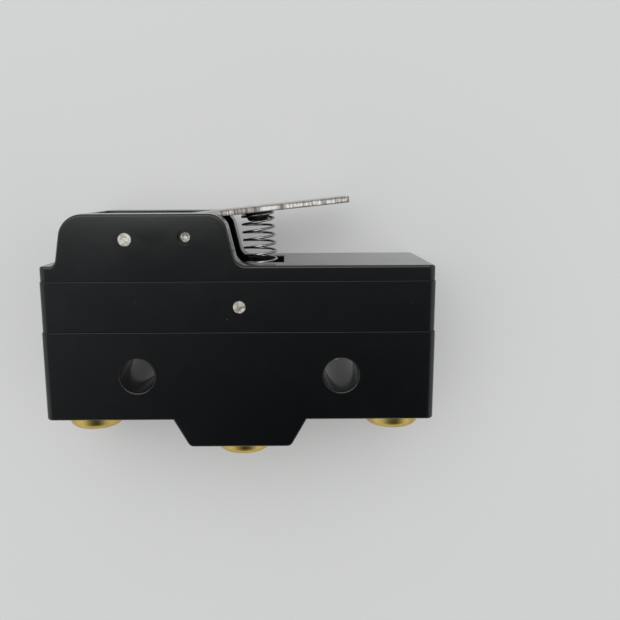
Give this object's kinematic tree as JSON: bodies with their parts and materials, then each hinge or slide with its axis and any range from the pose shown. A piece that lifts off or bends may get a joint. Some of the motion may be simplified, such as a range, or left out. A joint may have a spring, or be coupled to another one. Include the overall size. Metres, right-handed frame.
{
  "type": "lever micro switch",
  "caption": "Snap-action basic switch in a black case with two mounting holes, a short sprung hinge lever and brass screw terminals.",
  "frame": {"origin": "midway between the two mounting holes, on the back (mounting) face", "axes": "+X along the case towards the lever's tip, +Y from the hole line towards the lever, +Z out of the front face along the mounting holes; it rests on its back"},
  "size_m": [0.0488, 0.0339, 0.0174],
  "materials": {
    "moulding_black": "glossy moulded thermoset",
    "stainless": "rolled strip with sheared edges",
    "pin_steel": "ground pin ends",
    "spring_wire": "drawn wire",
    "plunger_black": "satin moulding",
    "spring_copper": "rolled copper alloy",
    "brass_plate": "stamped brass",
    "brass_screw": "bright brass",
    "silver": "contact silver"
  },
  "bodies": {
    "case": {"base": "moulding_black", "middle_frame": "moulding_black", "cover": "moulding_black", "pivot_pin": "pin_steel", "stop_pin": "pin_steel", "frame_pin": "pin_steel", "return_spring": "spring_wire", "anchor_bracket": "brass_plate", "anchor_rivet": "pin_steel", "com_terminal": "brass_plate", "no_terminal": "brass_plate", "nc_terminal": "brass_plate", "no_contact": "silver", "nc_contact": "silver"},
    "lever": {"lever": "stainless"},
    "plunger": {"plunger": "plunger_black"},
    "blade": {"snap_blade": "spring_copper", "moving_contact": "silver"},
    "com_washer": {"com_washer": "brass_screw"},
    "com_screw": {"com_screw": "brass_screw"},
    "no_washer": {"no_washer": "brass_screw"},
    "no_screw": {"no_screw": "brass_screw"},
    "nc_washer": {"nc_washer": "brass_screw"},
    "nc_screw": {"nc_screw": "brass_screw"}
  },
  "joints": [
    {"name": "lever_swing", "type": "hinge", "parent": "case", "child": "lever", "pos_m": [-0.0135, 0.01688, 0.00873], "axis": [0, 0, -1], "range_deg": [0, 8], "stiffness_Nm_per_rad": 0.214, "springref_deg": -3.72, "deforming": ["return_spring"]},
    {"name": "plunger_press", "type": "slide", "parent": "case", "child": "plunger", "axis": [0, -1, 0], "range_m": [0, 0.00064]},
    {"name": "blade_snap", "type": "hinge", "parent": "case", "child": "blade", "pos_m": [-0.0029, 0.00985, 0.00873], "axis": [0, 0, -1], "range_deg": [0, 1.4], "deforming": ["snap_blade"]},
    {"name": "com_washer_lift", "type": "slide", "parent": "case", "child": "com_washer", "axis": [0, -1, 0], "range_m": [0, 0.0028]},
    {"name": "com_screw_turn", "type": "hinge", "parent": "com_washer", "child": "com_screw", "pos_m": [-0.0202, -0.00565, 0.00873], "axis": [0, -1, 0], "range_deg": [0, 1440]},
    {"name": "no_washer_lift", "type": "slide", "parent": "case", "child": "no_washer", "axis": [0, -1, 0], "range_m": [0, 0.0028]},
    {"name": "no_screw_turn", "type": "hinge", "parent": "no_washer", "child": "no_screw", "pos_m": [0, -0.0092, 0.00873], "axis": [0, -1, 0], "range_deg": [0, 1440]},
    {"name": "nc_washer_lift", "type": "slide", "parent": "case", "child": "nc_washer", "axis": [0, -1, 0], "range_m": [0, 0.0028]},
    {"name": "nc_screw_turn", "type": "hinge", "parent": "nc_washer", "child": "nc_screw", "pos_m": [0.0202, -0.00565, 0.00873], "axis": [0, -1, 0], "range_deg": [0, 1440]}
  ],
  "couplings": [
    {"joint": "plunger_press", "follows": "lever_swing", "m_per_rad": 0.00456},
    {"joint": "blade_snap", "follows": "lever_swing", "ratio": 0.175},
    {"joint": "com_screw_turn", "follows": "com_washer_lift", "rad_per_m": 8975.9},
    {"joint": "no_screw_turn", "follows": "no_washer_lift", "rad_per_m": 8975.9},
    {"joint": "nc_screw_turn", "follows": "nc_washer_lift", "rad_per_m": 8975.9}
  ]
}
